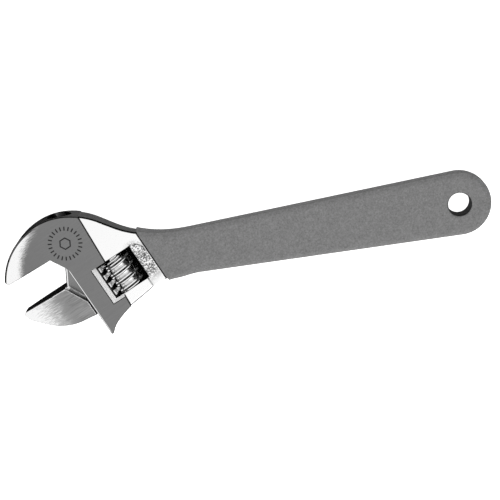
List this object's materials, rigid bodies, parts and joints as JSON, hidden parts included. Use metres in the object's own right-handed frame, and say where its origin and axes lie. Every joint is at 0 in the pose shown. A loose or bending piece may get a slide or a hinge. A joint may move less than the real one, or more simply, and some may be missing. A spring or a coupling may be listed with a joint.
{
  "type": "adjustable wrench",
  "caption": "Adjustable wrench with a fixed jaw, a sliding jaw driven by a knurled worm in a window of the head, and a dip-coated grip with a hang hole.",
  "frame": {"origin": "centre of the hang hole on the mid-plane between the two faces", "axes": "+X along the handle from the head to the free end, +Y towards the fixed jaw, +Z out of one face"},
  "size_m": [0.2064, 0.053, 0.0138],
  "materials": {
    "plated_steel": "plated forging, satin-brushed band and polished shank",
    "jaw_steel": "plated and brushed along the jaw",
    "worm_steel": "machined, knurled crests",
    "pin_steel": "turned",
    "spring_steel": "drawn wire",
    "vinyl_grip": "dipped vinyl with a fine matte grain"
  },
  "bodies": {
    "handle": {"handle_body": "plated_steel", "grip_sleeve": "vinyl_grip", "worm_pin": "pin_steel"},
    "jaw": {"movable_jaw": "jaw_steel"},
    "worm_body": {"worm": "worm_steel", "worm_spring": "spring_steel"}
  },
  "joints": [
    {"name": "worm_turn", "type": "hinge", "parent": "handle", "child": "worm_body", "pos_m": [-0.14317, -0.00341, 0], "axis": [-0.3827, 0.9239, 0], "range_deg": [-1283, 1105]},
    {"name": "jaw_slide", "type": "slide", "parent": "handle", "child": "jaw", "axis": [0.3827, -0.9239, 0], "range_m": [-0.01336, 0.01151]}
  ],
  "couplings": [
    {"joint": "worm_turn", "follows": "jaw_slide", "rad_per_m": 1675.5}
  ]
}
